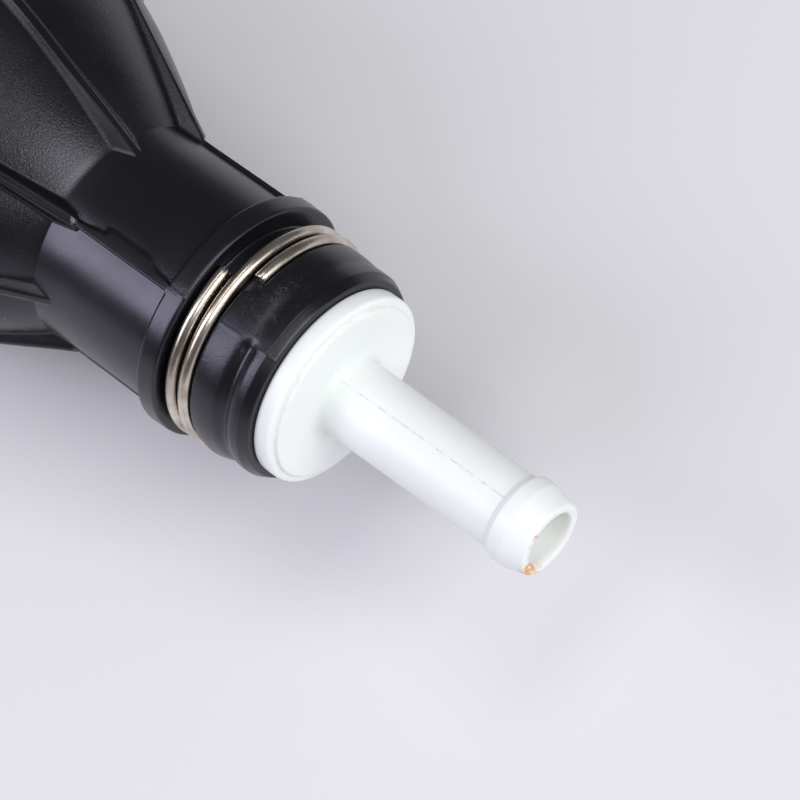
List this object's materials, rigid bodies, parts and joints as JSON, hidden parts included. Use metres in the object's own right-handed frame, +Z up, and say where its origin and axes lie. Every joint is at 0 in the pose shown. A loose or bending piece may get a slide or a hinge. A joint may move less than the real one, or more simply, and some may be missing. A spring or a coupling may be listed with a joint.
{
  "type": "siphon bulb pump",
  "caption": "Hand-squeezed rubber bulb pump with a hose barb and a one-way valve at each end, held by wire clips.",
  "frame": {"origin": "centre of the bounding box, on the pump's axis in the middle of the belly", "axes": "+X along the pump's axis towards the outlet, +Z up as it lies on its belly"},
  "size_m": [0.1788, 0.0494, 0.0486],
  "materials": {
    "bulb_rubber": "satin, fine leather-like mould grain",
    "white_plastic": "satin, slightly yellowed at the bore",
    "clip_steel": "bright drawn wire",
    "valve_plastic": "natural acetal",
    "poppet_plastic": "natural nylon",
    "seal_rubber": "matt nitrile",
    "spring_steel": "bright drawn wire"
  },
  "bodies": {
    "pump": {"bulb": "bulb_rubber", "outlet_fitting": "white_plastic", "outlet_clip": "clip_steel", "outlet_valve_body": "valve_plastic", "outlet_valve_ring": "seal_rubber", "outlet_valve_spring": "spring_steel", "outlet_valve_cap": "poppet_plastic", "inlet_fitting": "white_plastic", "inlet_clip": "clip_steel", "inlet_valve_body": "valve_plastic", "inlet_valve_ring": "seal_rubber", "inlet_valve_spring": "spring_steel", "inlet_valve_cap": "poppet_plastic"},
    "outlet_poppet": {"outlet_valve_poppet": "poppet_plastic", "outlet_valve_washer": "seal_rubber"},
    "inlet_poppet": {"inlet_valve_poppet": "poppet_plastic", "inlet_valve_washer": "seal_rubber"}
  },
  "joints": [
    {"name": "outlet_valve_lift", "type": "slide", "parent": "pump", "child": "outlet_poppet", "axis": [1, 0, 0], "range_m": [0, 0.0022], "stiffness_N_per_m": 40, "springref_m": -0.004, "deforming": ["outlet_valve_spring"]},
    {"name": "inlet_valve_lift", "type": "slide", "parent": "pump", "child": "inlet_poppet", "axis": [1, 0, 0], "range_m": [0, 0.0022], "stiffness_N_per_m": 40, "springref_m": -0.004, "deforming": ["inlet_valve_spring"]}
  ]
}
